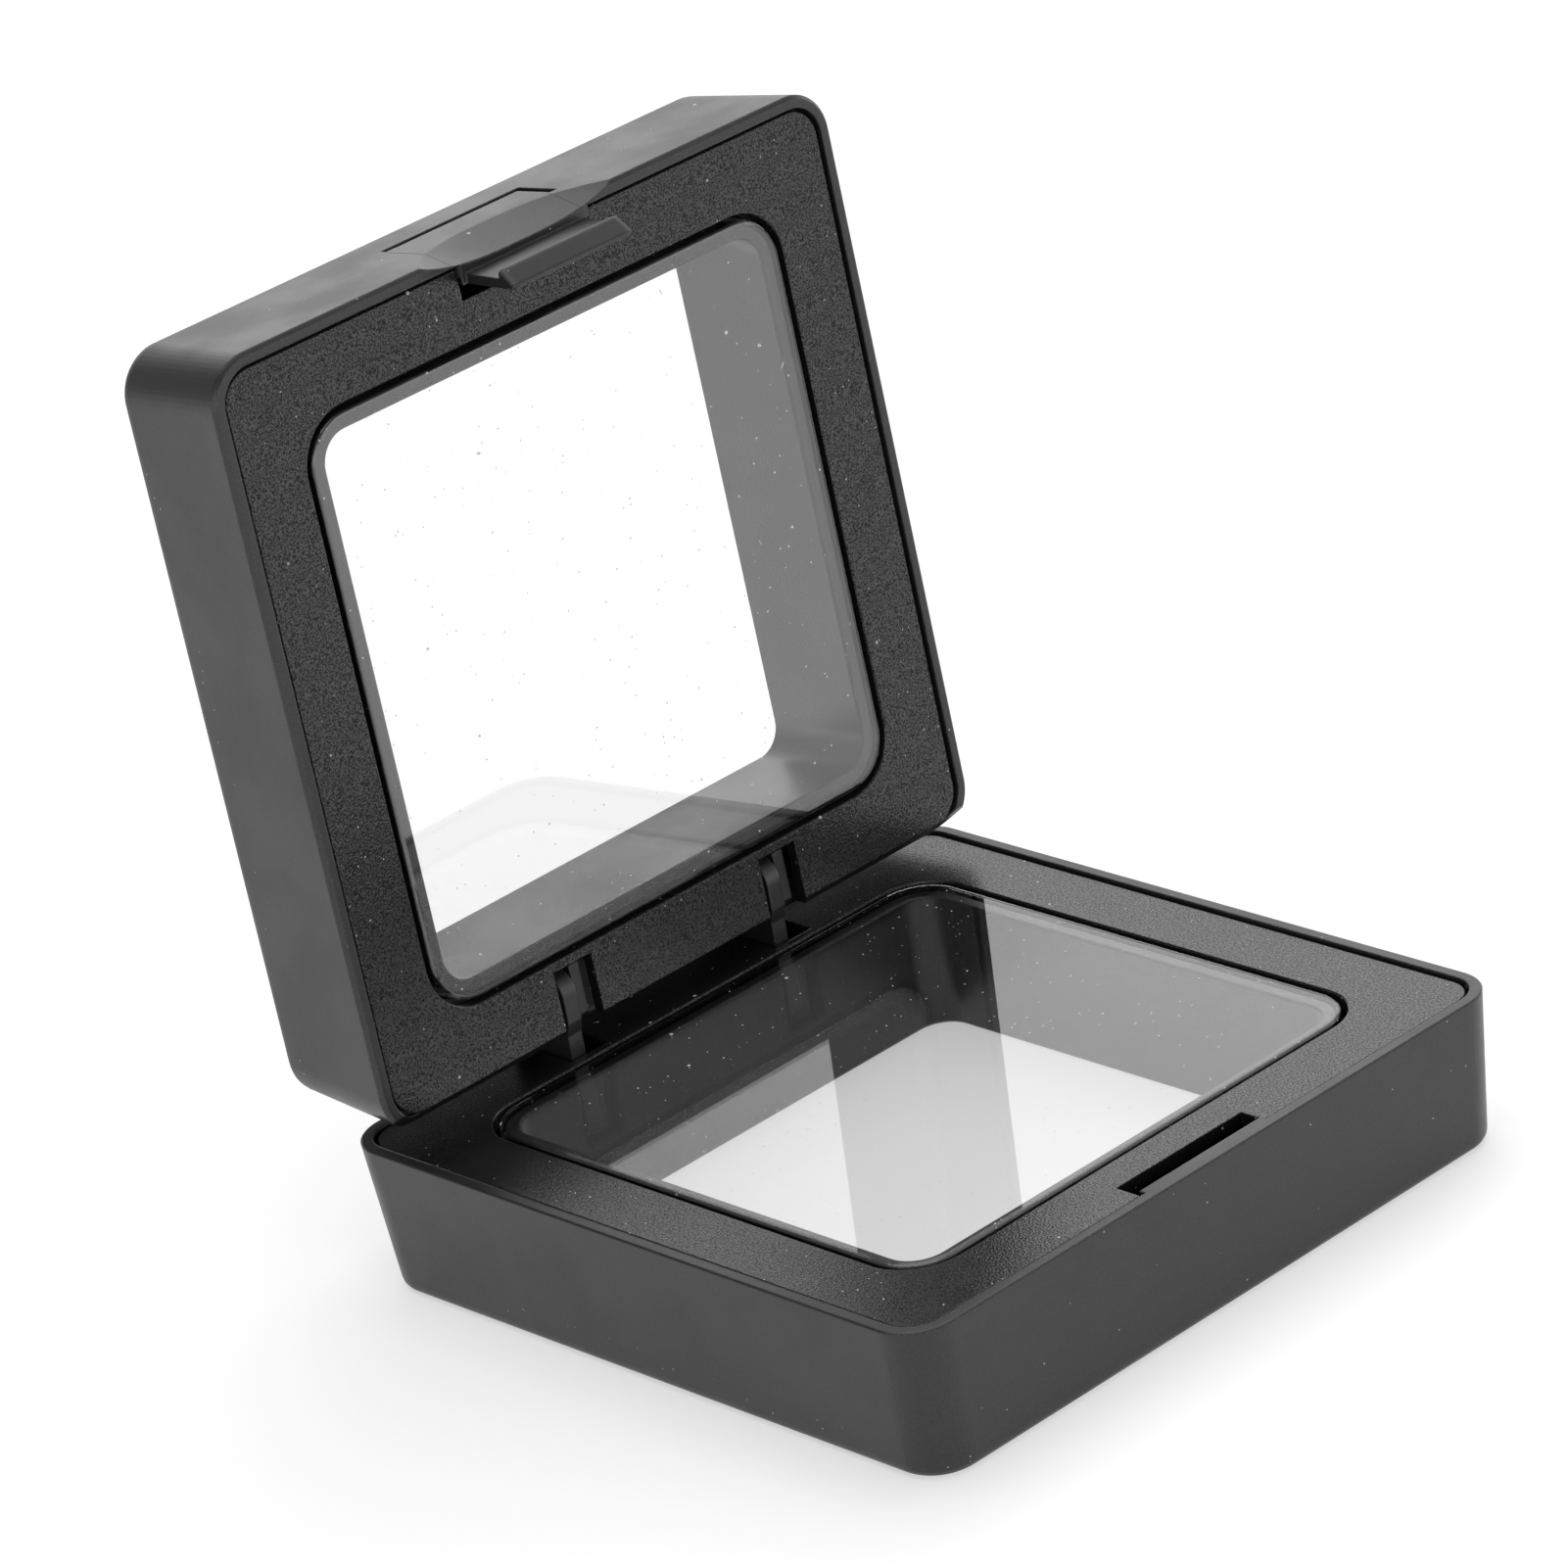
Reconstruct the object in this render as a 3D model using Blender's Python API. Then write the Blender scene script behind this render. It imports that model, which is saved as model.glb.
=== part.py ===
"""Floating display box, lid open: two framed clear membranes that close on each other.

Metres, +Z up. The base lies on z = 0 with its hinge along X at the back (+Y), and
the origin is under the middle of the whole open box.

Every size inside a half is given as u, v, w: u runs along the hinge, v runs from
the hinge side's face to the latch side's face, and w runs down from the half's rim
plane into its depth. The base's rim looks up. The lid is modelled closed on the
base and then turned open about its hinge.
"""
import math

import bmesh
import bpy
from mathutils import Vector

for old in list(bpy.data.objects):
    bpy.data.objects.remove(old, do_unlink=True)

MM = 0.001

# Driving dimensions
SIDE = 70.0 * MM
HALF_DEPTH = 14.0 * MM
CORNER_RADIUS = 4.2 * MM
OPEN_ANGLE = math.radians(93.25)
RIM_GAP = 0.3 * MM
CLEARANCE = 0.3 * MM
OVERRUN = 0.5 * MM
CORNER_STEPS = 14

# Housing shells, sizes inward from the rim's outline unless they say half
DRAFT = 0.9 * MM
BASE_RIM_CHAMFER = 0.12 * MM
LID_RIM_CHAMFER = 0.35 * MM
RIM_WIDTH = 1.1 * MM
EDGE_ROUND = 1.1 * MM
EDGE_STEPS = 4
WALL = 2.4 * MM
FLOOR = 1.5 * MM
FACE_WINDOW_INSET = 9.0 * MM
FACE_WINDOW_RADIUS = 2.6 * MM
FACE_WINDOW_CHAMFER = 0.3 * MM
LIP_INSET = 10.05 * MM
LIP_RADIUS = 2.8 * MM
LIP_WIDTH = 1.25 * MM
LIP_ROUND = 0.15 * MM
SHOULDER_WIDTH = 1.4 * MM
LID_BEVEL_RUN = 2.0 * MM
LID_BEVEL_DROP = 2.2 * MM

# Cover plates
PLATE_SINK = 0.25 * MM
PLATE_THICKNESS = 1.2 * MM
PLATE_EDGE_GAP = 0.3 * MM
PLATE_REAR_INSET = 1.35 * MM
PLATE_RADIUS = 2.9 * MM
PLATE_CHAMFER = 0.12 * MM
PLATE_WINDOW_INSET = 7.8 * MM
PLATE_WINDOW_RADIUS = 5.0 * MM

# Membranes and the rings that hold them down
FILM_SINK = 0.2 * MM
FILM_THICKNESS = 0.2 * MM
FILM_SKIRT = 3.0 * MM
FILM_ROUND = 0.45 * MM
FILM_RADIUS = 4.5 * MM
FILM_STEPS = 4
RING_SINK = 2.6 * MM
RING_HEIGHT = 1.6 * MM
RING_WIDTH = 0.6 * MM

# Hinge
AXIS_INSET = 3.2 * MM
AXIS_RISE = 4.3 * MM
HINGE_SLOT_INNER = 10.0 * MM
HINGE_SLOT_WIDTH = 4.4 * MM
HINGE_SLOT_REACH = 6.95 * MM
ARM_SIDE_GAP = 0.35 * MM
ARM_THICKNESS = 1.55 * MM
ARM_NECK_RISE = 1.9 * MM
ARM_BULGE = 0.4 * MM
ARM_BULGE_RISE = 3.2 * MM
ARM_TOP_RISE = 7.7 * MM
ARM_TOP_ROUND = 2.3 * MM
ARM_STEPS = 18
TONGUE_HALF = 15.2 * MM
TONGUE_INSET = 0.15 * MM
TONGUE_THICKNESS = 0.85 * MM
TONGUE_RISE = 0.6 * MM
TONGUE_ROOT = 1.5 * MM
LUG_GAP = 0.5 * MM
LUG_THICKNESS = 1.2 * MM
LUG_RADIUS = 1.9 * MM
LUG_FRONT = 1.2 * MM
LUG_CHAMFER = 0.4 * MM
LUG_RIB_FROM = 1.1 * MM
LUG_RIB_WIDTH = 2.1 * MM
PIN_RADIUS = 0.8 * MM
PIN_END_GAP = 0.1 * MM
PIN_STEPS = 24

# Push latch in the lid's free side
LATCH_LEFT = -7.5 * MM
LATCH_RIGHT = 6.8 * MM
LATCH_DEPTH = 8.6 * MM
LATCH_THICKNESS = 2.9 * MM
LATCH_SLOT = 0.8 * MM
LATCH_SLOT_OVERSHOOT = 0.3 * MM
LATCH_SIDE_SLOT_START = 4.2 * MM
LATCH_TRAVEL = 1.0 * MM
SCOOP_DEPTH = 1.42 * MM
SCOOP_HALF = 11.0 * MM
SCOOP_CENTRE = -0.6 * MM
SCOOP_RUN = 5.9 * MM
SCOOP_STEPS = 32
HOOK_LEFT = -7.05 * MM
HOOK_RIGHT = 6.5 * MM
HOOK_ARM_THICKNESS = 0.85 * MM
HOOK_REACH = 3.93 * MM
BARB_OUT = 0.75 * MM
BARB_DROP = 0.5 * MM
BARB_NOSE = 1.65 * MM
BARB_ROUND = 0.45 * MM
NOSE_ROUND = 0.25 * MM
BARB_END_RUN = 0.8 * MM
BARB_STEPS = 5

# The catch that the hook grips, in the base's free side
CATCH_LEFT = -7.8 * MM
CATCH_RIGHT = 7.1 * MM
CATCH_LIP_DEPTH = 3.5 * MM
CATCH_WALL = 1.05 * MM

# Places worked out from the sizes above
RIM_HALF = SIDE / 2
BASE_RIM_Z = HALF_DEPTH
LID_RIM_Z = BASE_RIM_Z + RIM_GAP
AXIS_Z = BASE_RIM_Z + AXIS_RISE
AXIS_Y = RIM_HALF - AXIS_INSET
LID_AXIS_DROP = AXIS_Z - LID_RIM_Z
LATCH_BACK = SIDE - LATCH_THICKNESS
NOTCH_BACK = LATCH_BACK - LATCH_TRAVEL - CLEARANCE
HOOK_OUTER = LATCH_BACK + HOOK_ARM_THICKNESS
LIP_FACE = HOOK_OUTER + CLEARANCE
PLATE_BACK = PLATE_SINK + PLATE_THICKNESS
PLATE_INSET = RIM_WIDTH + PLATE_EDGE_GAP
LIP_TOP = FILM_SINK + FILM_THICKNESS + CLEARANCE
TUBE_INSET = LIP_INSET - LIP_WIDTH
FILM_INSET = TUBE_INSET - CLEARANCE - FILM_THICKNESS
RING_INSET = FILM_INSET - CLEARANCE
SHOULDER_W = RING_SINK + RING_HEIGHT + CLEARANCE
SLOPE = DRAFT / HALF_DEPTH

# How far the open lid reaches behind the base, to centre the origin under the whole
REACH_V = SIDE - DRAFT - EDGE_ROUND - AXIS_INSET
REACH_W = HALF_DEPTH - EDGE_ROUND - LID_AXIS_DROP
OPEN_REACH = AXIS_Y - REACH_V * math.cos(OPEN_ANGLE) + REACH_W * math.sin(OPEN_ANGLE) + EDGE_ROUND
BASE_Y = (RIM_HALF - OPEN_REACH) / 2


class Half:
    """A half of the case: where its rim plane is, and which way its depth runs."""

    def __init__(self, rim_z, down, chamfer, parent, origin):
        self.rim_z = rim_z
        self.down = down
        self.chamfer = chamfer
        self.parent = parent
        self.origin = origin

    def place(self, u, v, w):
        """The point u, v, w as coordinates under the half's parent."""
        return Vector((u, RIM_HALF - v, self.rim_z + self.down * w)) - self.origin


def empty(name, location, parent=None, turn_x=0):
    """An axis or frame that pieces hang on."""
    obj = bpy.data.objects.new(name, None)
    obj.location = location
    obj.rotation_euler = (turn_x, 0, 0)
    obj.parent = parent
    bpy.context.scene.collection.objects.link(obj)
    return obj


def finish(name, mesh_data, parent, material=None):
    """Turn a bmesh into a smooth-shaded object under its parent, with faces out."""
    bmesh.ops.recalc_face_normals(mesh_data, faces=mesh_data.faces)
    mesh = bpy.data.meshes.new(name)
    mesh_data.to_mesh(mesh)
    mesh_data.free()
    mesh.shade_smooth()
    mesh.set_sharp_from_angle(angle=math.radians(30))
    obj = bpy.data.objects.new(name, mesh)
    obj.parent = parent
    bpy.context.scene.collection.objects.link(obj)
    if material:
        mesh.materials.append(material)
    return obj


def plastic(name, colour, roughness, metallic=0.0, transmission=0.0):
    """A Principled material with plain values."""
    mat = bpy.data.materials.new(name)
    mat.use_nodes = True
    shader = mat.node_tree.nodes["Principled BSDF"]
    shader.inputs["Base Color"].default_value = (*colour, 1)
    shader.inputs["Roughness"].default_value = roughness
    shader.inputs["Metallic"].default_value = metallic
    shader.inputs["Transmission Weight"].default_value = transmission
    return mat


def outline(inset, radius, rear_inset=None):
    """A rounded square in u, v, drawn in by inset from the rim's outline."""
    rear = inset if rear_inset is None else rear_inset
    reach = RIM_HALF - inset - radius
    near = rear + radius
    far = SIDE - inset - radius
    points = []
    for quarter, (u, v) in enumerate(((reach, far), (-reach, far), (-reach, near), (reach, near))):
        for step in range(CORNER_STEPS + 1):
            angle = math.pi / 2 * (quarter + step / CORNER_STEPS)
            points.append((u + radius * math.cos(angle), v + radius * math.sin(angle)))
    return points


def loft(name, half, rings, closed, material):
    """Skin a list of (outline, w) rings; a closed list makes a frame, an open one a cap."""
    data = bmesh.new()
    loops = []
    for points, w in rings:
        loops.append([data.verts.new(half.place(u, v, w)) for u, v in points])
    pairs = list(zip(loops, loops[1:]))
    if closed:
        pairs.append((loops[-1], loops[0]))
    for lower, upper in pairs:
        for i in range(len(lower)):
            j = (i + 1) % len(lower)
            data.faces.new((lower[i], lower[j], upper[j], upper[i]))
    if not closed:
        data.faces.new(loops[0])
        data.faces.new(loops[-1])
    return finish(name, data, half.parent, material)


def bar(name, half, stations, material=None):
    """Skin a bar through outlines of v, w points at places along u."""
    data = bmesh.new()
    loops = []
    for u, points in stations:
        loops.append([data.verts.new(half.place(u, v, w)) for v, w in points])
    data.faces.new(loops[0])
    data.faces.new(loops[-1])
    for near, far in zip(loops, loops[1:]):
        for i in range(len(near)):
            j = (i + 1) % len(near)
            data.faces.new((near[i], near[j], far[j], far[i]))
    return finish(name, data, half.parent, material)


def prism(name, half, u_low, u_high, points, material=None):
    """Extrude an outline of v, w points along u."""
    return bar(name, half, ((u_low, points), (u_high, points)), material)


def block(name, half, u_low, u_high, v_low, v_high, w_low, w_high):
    """A plain box between two corners."""
    points = ((v_low, w_low), (v_high, w_low), (v_high, w_high), (v_low, w_high))
    return prism(name, half, u_low, u_high, points)


def arc(centre, radius, start, end, steps):
    """Points of v, w on an arc, angles in degrees from +v towards -w."""
    points = []
    for step in range(steps + 1):
        angle = math.radians(start + (end - start) * step / steps)
        points.append((centre[0] + radius * math.cos(angle), centre[1] - radius * math.sin(angle)))
    return points


def combine(target, tool, operation):
    """Cut a helper solid from a piece, or join it on, with a live Boolean."""
    tool.hide_render = True
    tool.display_type = "WIRE"
    modifier = target.modifiers.new(tool.name, "BOOLEAN")
    modifier.operation = operation
    modifier.solver = "EXACT"
    modifier.object = tool


def cut(target, tool):
    combine(target, tool, "DIFFERENCE")


def join(target, tool):
    combine(target, tool, "UNION")


def shell(name, half, material):
    """A housing: drafted wall, rounded face with a window, and a tube that ends in the lip."""
    def at(inset, w, radius):
        return outline(inset, radius), w

    wall_draft = SLOPE * (HALF_DEPTH - EDGE_ROUND)
    chamfer = half.chamfer
    rings = [at(chamfer, 0, CORNER_RADIUS - chamfer), at(0, chamfer, CORNER_RADIUS)]
    for step in range(EDGE_STEPS + 1):
        angle = math.pi / 2 * step / EDGE_STEPS
        inset = wall_draft + EDGE_ROUND * (1 - math.cos(angle))
        w = HALF_DEPTH - EDGE_ROUND * (1 - math.sin(angle))
        rings.append(at(inset, w, CORNER_RADIUS - EDGE_ROUND * (1 - math.cos(angle))))

    tube_radius = LIP_RADIUS + LIP_WIDTH
    shoulder_inset = TUBE_INSET - SHOULDER_WIDTH
    shoulder_radius = tube_radius + SHOULDER_WIDTH
    rings += [
        at(FACE_WINDOW_INSET - FACE_WINDOW_CHAMFER, HALF_DEPTH, FACE_WINDOW_RADIUS + FACE_WINDOW_CHAMFER),
        at(FACE_WINDOW_INSET, HALF_DEPTH - FACE_WINDOW_CHAMFER, FACE_WINDOW_RADIUS),
        at(LIP_INSET, LIP_TOP + LIP_ROUND, LIP_RADIUS),
        at(LIP_INSET - LIP_ROUND, LIP_TOP, LIP_RADIUS + LIP_ROUND),
        at(TUBE_INSET + LIP_ROUND, LIP_TOP, tube_radius - LIP_ROUND),
        at(TUBE_INSET, LIP_TOP + LIP_ROUND, tube_radius),
        at(TUBE_INSET, SHOULDER_W, tube_radius),
        at(shoulder_inset, SHOULDER_W, shoulder_radius),
        at(shoulder_inset, HALF_DEPTH - FLOOR, shoulder_radius),
        at(WALL, HALF_DEPTH - FLOOR, CORNER_RADIUS - WALL),
        at(WALL, PLATE_BACK + CLEARANCE, CORNER_RADIUS - WALL),
        at(RIM_WIDTH, PLATE_BACK + CLEARANCE, CORNER_RADIUS - RIM_WIDTH),
        at(RIM_WIDTH, 0, CORNER_RADIUS - RIM_WIDTH),
    ]
    return loft(name, half, rings, True, material)


def cover_plate(name, half, material):
    """The textured frame let into the housing, with two hinge notches and the latch notch."""
    def pair(top_chamfer, w):
        grow = top_chamfer
        outer = outline(PLATE_INSET + grow, PLATE_RADIUS - grow, PLATE_REAR_INSET + grow)
        inner = outline(PLATE_WINDOW_INSET - grow, PLATE_WINDOW_RADIUS + grow)
        return (outer, w), (inner, w)

    outer_top, inner_top = pair(PLATE_CHAMFER, PLATE_SINK)
    outer_mid, inner_mid = pair(0, PLATE_SINK + PLATE_CHAMFER)
    outer_low, inner_low = pair(0, PLATE_BACK)
    rings = [outer_top, outer_mid, outer_low, inner_low, inner_mid, inner_top]
    plate = loft(name, half, rings, True, material)
    for left in hinge_slots():
        slot = block(
            f"{name}_hinge_tool_{'left' if left < 0 else 'right'}", half, left, left + HINGE_SLOT_WIDTH,
            -OVERRUN, HINGE_SLOT_REACH, -OVERRUN, PLATE_BACK + OVERRUN)
        cut(plate, slot)
    notch = block(
        name + "_latch_tool", half, CATCH_LEFT, CATCH_RIGHT,
        NOTCH_BACK, SIDE, -OVERRUN, PLATE_BACK + OVERRUN)
    cut(plate, notch)
    return plate


def film(name, half, material):
    """The clear membrane, drawn over the lip and down round the tube."""
    outer = []
    inner = []
    for step in range(FILM_STEPS + 1):
        angle = math.pi / 2 * step / FILM_STEPS
        draw = FILM_ROUND * (1 - math.sin(angle))
        drop = FILM_ROUND * (1 - math.cos(angle))
        outer.append((outline(FILM_INSET + draw, FILM_RADIUS - draw), FILM_SINK + drop))
        share = 1 - FILM_THICKNESS / FILM_ROUND
        inner_inset = FILM_INSET + FILM_THICKNESS
        inner_radius = FILM_RADIUS - FILM_THICKNESS - draw * share
        inner.append((
            outline(inner_inset + draw * share, inner_radius),
            FILM_SINK + FILM_THICKNESS + drop * share))
    edge = FILM_SINK + FILM_SKIRT
    hem_out = (outline(FILM_INSET, FILM_RADIUS), edge)
    hem_in = (outline(FILM_INSET + FILM_THICKNESS, FILM_RADIUS - FILM_THICKNESS), edge)
    return loft(name, half, outer + [hem_out, hem_in] + inner[::-1], False, material)


def film_ring(name, half, material):
    """The ring that holds the membrane's skirt against the tube, resting on its shoulder."""
    inner_radius = FILM_RADIUS + CLEARANCE
    inner = outline(RING_INSET, inner_radius)
    outer = outline(RING_INSET - RING_WIDTH, inner_radius + RING_WIDTH)
    low = RING_SINK + RING_HEIGHT
    rings = [(inner, RING_SINK), (outer, RING_SINK), (outer, low), (inner, low)]
    return loft(name, half, rings, True, material)


def hinge_slots():
    """The left edge, in u, of the two hinge notches."""
    return (-HINGE_SLOT_INNER - HINGE_SLOT_WIDTH, HINGE_SLOT_INNER)


def hinge_side(left):
    return "left" if left < 0 else "right"


def base_hinge(housing, half):
    """The tongue on the base's back wall, and the two arms that carry the pins."""
    axis = (AXIS_INSET, -AXIS_RISE)
    tongue = block(
        "tongue_tool", half, -TONGUE_HALF, TONGUE_HALF, TONGUE_INSET, TONGUE_INSET + TONGUE_THICKNESS,
        -AXIS_RISE - TONGUE_RISE, TONGUE_ROOT)
    join(housing, tongue)
    neck_front = HINGE_SLOT_REACH - ARM_SIDE_GAP
    head_front = neck_front + ARM_BULGE
    round_centre = (head_front - ARM_TOP_ROUND, ARM_TOP_ROUND - ARM_TOP_RISE)
    back_radius = AXIS_INSET - TONGUE_INSET
    foot = HALF_DEPTH - FLOOR / 2
    points = [(neck_front, foot), (neck_front, -ARM_NECK_RISE), (head_front, -ARM_BULGE_RISE)]
    points += arc(round_centre, ARM_TOP_ROUND, 0, 90, ARM_STEPS)
    points += arc(axis, back_radius, 95, 180, ARM_STEPS)
    points += [(TONGUE_INSET, 0), (WALL / 2, foot)]
    for left in hinge_slots():
        side = hinge_side(left)
        start = left + ARM_SIDE_GAP
        arm = prism(f"arm_{side}_tool", half, start, start + ARM_THICKNESS, points)
        join(housing, arm)
        bore = prism(
            f"arm_bore_{side}_tool", half, start - OVERRUN, start + ARM_THICKNESS + OVERRUN,
            arc(axis, PIN_RADIUS + CLEARANCE, 0, 360, PIN_STEPS)[:-1])
        cut(housing, bore)


def lid_hinge(housing, half):
    """The bevel that lets the lid swing, the relief behind the tongue, and two lugs on the pins."""
    axis = (AXIS_INSET, LID_AXIS_DROP)
    beyond = RIM_HALF + OVERRUN
    rise = OVERRUN * LID_BEVEL_DROP / LID_BEVEL_RUN
    bevel = prism(
        "lid_bevel_tool", half, -beyond, beyond,
        ((LID_BEVEL_RUN + OVERRUN, -rise), (-OVERRUN, LID_BEVEL_DROP + rise), (-OVERRUN, -rise)))
    cut(housing, bevel)
    sweep = math.hypot(AXIS_INSET - TONGUE_INSET, TONGUE_RISE) + CLEARANCE
    relief = block(
        "relief_tool", half, -TONGUE_HALF - CLEARANCE, TONGUE_HALF + CLEARANCE,
        -OVERRUN, WALL + CLEARANCE, -OVERRUN, LID_AXIS_DROP + sweep)
    cut(housing, relief)
    rib_near = AXIS_INSET + LUG_RIB_FROM
    rib_far = rib_near + LUG_RIB_WIDTH
    rib_top = HALF_DEPTH - FLOOR / 2
    meet = math.degrees(math.acos(LUG_RIB_FROM / LUG_RADIUS))
    lug_foot = AXIS_INSET - LUG_RADIUS
    points = [(rib_far, rib_top), (rib_far, LUG_FRONT)]
    points += [(lug_foot + LUG_CHAMFER, LUG_FRONT), (lug_foot, LUG_FRONT + LUG_CHAMFER)]
    points += arc(axis, LUG_RADIUS, 180, 360 - meet, ARM_STEPS)
    points.append((rib_near, rib_top))
    for left in hinge_slots():
        side = hinge_side(left)
        start = left + ARM_SIDE_GAP + ARM_THICKNESS + LUG_GAP
        lug = prism(f"lug_{side}_tool", half, start, start + LUG_THICKNESS, points)
        join(housing, lug)
        bore = prism(
            f"lug_bore_{side}_tool", half, start - OVERRUN, start + LUG_THICKNESS + OVERRUN,
            arc(axis, PIN_RADIUS + CLEARANCE, 0, 360, PIN_STEPS)[:-1])
        cut(housing, bore)


def hinge_pin(left, half, material):
    """A steel pin through one arm and its lug."""
    axis = (AXIS_INSET, -AXIS_RISE)
    start = left + PIN_END_GAP
    length = 2 * (ARM_SIDE_GAP - PIN_END_GAP) + ARM_THICKNESS + LUG_GAP + LUG_THICKNESS
    points = arc(axis, PIN_RADIUS, 0, 360, PIN_STEPS)[:-1]
    return prism(f"hinge_pin_{hinge_side(left)}", half, start, start + length, points, material)


def scoop(half):
    """A thumb scoop: a bar with a flat-bottomed curve, laid aslant so it is deepest at the rim."""
    length = math.hypot(SCOOP_DEPTH, SCOOP_RUN)
    along = Vector((0, SCOOP_DEPTH / length, SCOOP_RUN / length))
    reach = SCOOP_RUN + SIDE - LATCH_BACK
    section = [(-SCOOP_HALF - OVERRUN, -SIDE / 2), (-SCOOP_HALF - OVERRUN, 0)]
    for step in range(SCOOP_STEPS + 1):
        share = 2 * step / SCOOP_STEPS - 1
        section.append((share * SCOOP_HALF, SCOOP_DEPTH * (1 - abs(share) ** 3)))
    section += [(SCOOP_HALF + OVERRUN, 0), (SCOOP_HALF + OVERRUN, -SIDE / 2)]
    data = bmesh.new()
    ends = []
    for run in (-reach, reach + SCOOP_RUN):
        loop = []
        for across, depth in section:
            point = Vector((SCOOP_CENTRE + across, SIDE - depth, 0)) + along * run
            loop.append(data.verts.new(half.place(*point)))
        ends.append(loop)
        data.faces.new(loop)
    for i in range(len(section)):
        j = (i + 1) % len(section)
        data.faces.new((ends[0][i], ends[0][j], ends[1][j], ends[1][i]))
    return finish("scoop_tool", data, half.parent)


def latch_opening(housing, half, scoop_tool):
    """The way through the lid's free side for the latch, with the slots that set it free."""
    inner = SIDE - WALL - CLEARANCE
    outer = SIDE + OVERRUN
    deep = LATCH_DEPTH + LATCH_SLOT
    left = LATCH_LEFT - CLEARANCE
    window = block(
        "latch_window_tool", half, left, LATCH_RIGHT + CLEARANCE, inner, outer, -OVERRUN, deep)
    side_slot = block(
        "latch_side_slot_tool", half, LATCH_RIGHT, LATCH_RIGHT + LATCH_SLOT,
        inner, outer, LATCH_SIDE_SLOT_START, deep)
    end_slot = block(
        "latch_end_slot_tool", half, left - LATCH_SLOT_OVERSHOOT, LATCH_RIGHT,
        inner, outer, LATCH_DEPTH, deep)
    for tool in (window, side_slot, end_slot, scoop_tool):
        cut(housing, tool)


def hook_outline(half, share):
    """The hook in v, w: arm, barb and nose, with this share of the full rounding radii."""
    tip = HOOK_REACH + BARB_DROP
    end = tip + BARB_NOSE
    catch_angle = math.degrees(math.atan2(BARB_OUT, BARB_DROP))
    nose_angle = math.degrees(math.atan2(BARB_NOSE, HOOK_ARM_THICKNESS + BARB_OUT))
    crest = (HOOK_OUTER + BARB_OUT - BARB_ROUND, -tip)
    nose = (LATCH_BACK + NOSE_ROUND, NOSE_ROUND - end)
    foot = BARB_ROUND * (1 - share) / math.sin(math.radians(catch_angle))
    points = [(LATCH_BACK, half.chamfer), (HOOK_OUTER, half.chamfer), (HOOK_OUTER, -HOOK_REACH - foot)]
    points += arc(crest, BARB_ROUND * share, -catch_angle, 90 - nose_angle, BARB_STEPS)
    points += arc(nose, NOSE_ROUND * share, 90 - nose_angle, 180, BARB_STEPS)
    points.append((LATCH_BACK, nose[1]))
    return points


def push_latch(half, scoop_tool, material):
    """The button and the hook under it, one springy tongue of the lid's free side."""
    face = ((LATCH_BACK, 0), (SIDE - half.chamfer, 0), (SIDE, half.chamfer),
            (SIDE - SLOPE * LATCH_DEPTH, LATCH_DEPTH), (LATCH_BACK, LATCH_DEPTH))
    latch = prism("push_latch", half, LATCH_LEFT, LATCH_RIGHT, face, material)
    cut(latch, scoop_tool)
    near = []
    far = []
    for step in range(BARB_STEPS + 1):
        angle = math.pi / 2 * (step + 1) / (BARB_STEPS + 1)
        run = BARB_END_RUN * (1 - math.cos(angle))
        points = hook_outline(half, math.sin(angle))
        near.append((HOOK_LEFT + run, points))
        far.append((HOOK_RIGHT - run, points))
    join(latch, bar("hook_tool", half, near + far[::-1]))
    return latch


def latch_catch(housing, half):
    """The base's answer to the hook: a lip across the notch and a pocket behind it."""
    end = HOOK_REACH + BARB_DROP + BARB_NOSE - RIM_GAP
    deep = end + 2 * CLEARANCE
    lip = block(
        "catch_lip_tool", half, CATCH_LEFT + CLEARANCE, CATCH_RIGHT - CLEARANCE,
        LIP_FACE, SIDE - RIM_WIDTH / 2, 0, CATCH_LIP_DEPTH)
    join(housing, lip)
    throat = block(
        "catch_throat_tool", half, CATCH_LEFT, CATCH_RIGHT, NOTCH_BACK, LIP_FACE, -OVERRUN, deep)
    cut(housing, throat)
    pocket = block(
        "catch_pocket_tool", half, CATCH_LEFT, CATCH_RIGHT,
        NOTCH_BACK, SIDE - CATCH_WALL, CATCH_LIP_DEPTH, deep)
    cut(housing, pocket)


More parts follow.
